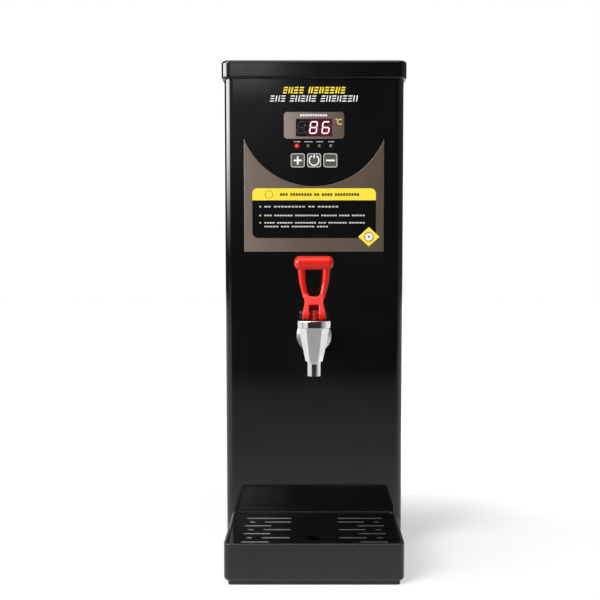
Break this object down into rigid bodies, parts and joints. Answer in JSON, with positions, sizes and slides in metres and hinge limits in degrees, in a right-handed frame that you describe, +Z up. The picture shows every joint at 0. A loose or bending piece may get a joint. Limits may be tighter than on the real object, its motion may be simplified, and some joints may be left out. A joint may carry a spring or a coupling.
{
  "type": "hot water dispenser",
  "caption": "Slim countertop hot water dispenser with a gloss black casing, temperature display, key pad, lever tap with a sprung stem and a pull-out drip tray.",
  "frame": {"origin": "centre of the overall box at table level, under the casing's front part", "axes": "+Z up, the front with the tap faces -Y, +X is to the right of a viewer in front"},
  "size_m": [0.1956, 0.368, 0.522],
  "materials": {
    "casing_paint": "high gloss black enamel",
    "panel_paint": "satin black enamel",
    "lid_paint": "high gloss black enamel",
    "tray_plastic": "gloss black",
    "grid_plastic": "gloss black",
    "bronze": "fine brushed bronze anodising",
    "window_tint": "dark red tint",
    "lamp_lens": "tinted lens",
    "key_grey": "satin grey",
    "chrome": "polished chrome plate",
    "lever_red": "gloss red",
    "stem_brass": "turned",
    "brass": "turned",
    "bright_steel": "bright zinc",
    "tank_steel": "brushed stainless",
    "heat_sink_metal": "extruded",
    "black_rubber": "matte",
    "silicone": "translucent white",
    "circuit_board": "solder resist",
    "black_plastic": "moulded",
    "white_plastic": "moulded",
    "coil_plastic": "moulded",
    "insulation": "fibre felt"
  },
  "bodies": {
    "housing": {"body_shell": "casing_paint", "rear_panel": "panel_paint", "base_plate": "panel_paint", "lid": "lid_paint", "info_plate": "bronze", "display_bezel": "bronze", "display_window": "window_tint", "indicator_lamps": "lamp_lens", "tap_body": "chrome", "tap_bonnet": "chrome", "tap_escutcheon": "chrome", "tap_lock_nut": "brass", "inlet_lock_nut": "brass", "drain_fitting": "brass", "board_standoffs": "brass", "heating_element": "brass", "element_nut": "brass", "rear_screws": "bright_steel", "lid_screws": "bright_steel", "foot_screws": "bright_steel", "foot_nuts": "bright_steel", "board_screws": "bright_steel", "cover_screws": "bright_steel", "stand_screws": "bright_steel", "tap_spring": "bright_steel", "level_probes": "bright_steel", "temperature_probe": "bright_steel", "drain_cap": "bright_steel", "tank": "tank_steel", "tank_cover": "tank_steel", "tank_stand": "tank_steel", "heat_sink": "heat_sink_metal", "feet": "black_rubber", "tap_gasket": "silicone", "cover_gasket": "silicone", "outlet_hose": "silicone", "inlet_hose": "silicone", "drain_hose": "silicone", "control_board": "circuit_board", "power_board": "circuit_board", "display_module": "black_plastic", "key_switches": "black_plastic", "cord_gland": "black_plastic", "gland_nut": "black_plastic", "thermal_cutout": "black_plastic", "inlet_valve": "white_plastic", "probe_bushes": "white_plastic", "terminal_block": "white_plastic", "valve_coil": "coil_plastic", "tank_jacket": "insulation"},
    "tap_stem": {"tap_stem": "stem_brass", "handle_pin": "bright_steel", "seat_cup": "silicone"},
    "tap_lever": {"tap_handle": "lever_red"},
    "plus_key": {"button_plus": "key_grey"},
    "power_key": {"button_power": "key_grey"},
    "minus_key": {"button_minus": "key_grey"},
    "tray": {"drip_tray": "tray_plastic", "tray_pads": "black_rubber"},
    "grid": {"drip_grid": "grid_plastic"}
  },
  "joints": [
    {"name": "stem_lift", "type": "slide", "parent": "housing", "child": "tap_stem", "axis": [0, 0, 1], "range_m": [0, 0.004], "stiffness_N_per_m": 500, "springref_m": -0.006, "deforming": ["tap_spring"]},
    {"name": "lever_tilt", "type": "hinge", "parent": "tap_stem", "child": "tap_lever", "pos_m": [0, -0.136, 0.2612], "axis": [1, 0, 0], "range_deg": [0, 45.1]},
    {"name": "plus_press", "type": "slide", "parent": "housing", "child": "plus_key", "axis": [0, 1, 0], "range_m": [0, 0.0006], "stiffness_N_per_m": 400},
    {"name": "power_press", "type": "slide", "parent": "housing", "child": "power_key", "axis": [0, 1, 0], "range_m": [0, 0.0006], "stiffness_N_per_m": 400},
    {"name": "minus_press", "type": "slide", "parent": "housing", "child": "minus_key", "axis": [0, 1, 0], "range_m": [0, 0.0006], "stiffness_N_per_m": 400},
    {"name": "tray_slide", "type": "slide", "parent": "housing", "child": "tray", "axis": [0, -1, 0], "range_m": [0, 0.12]},
    {"name": "grid_lift", "type": "slide", "parent": "tray", "child": "grid", "axis": [0, 0, 1], "range_m": [0, 0.06]}
  ],
  "couplings": [
    {"joint": "lever_tilt", "follows": "stem_lift", "rad_per_m": 196.35}
  ]
}
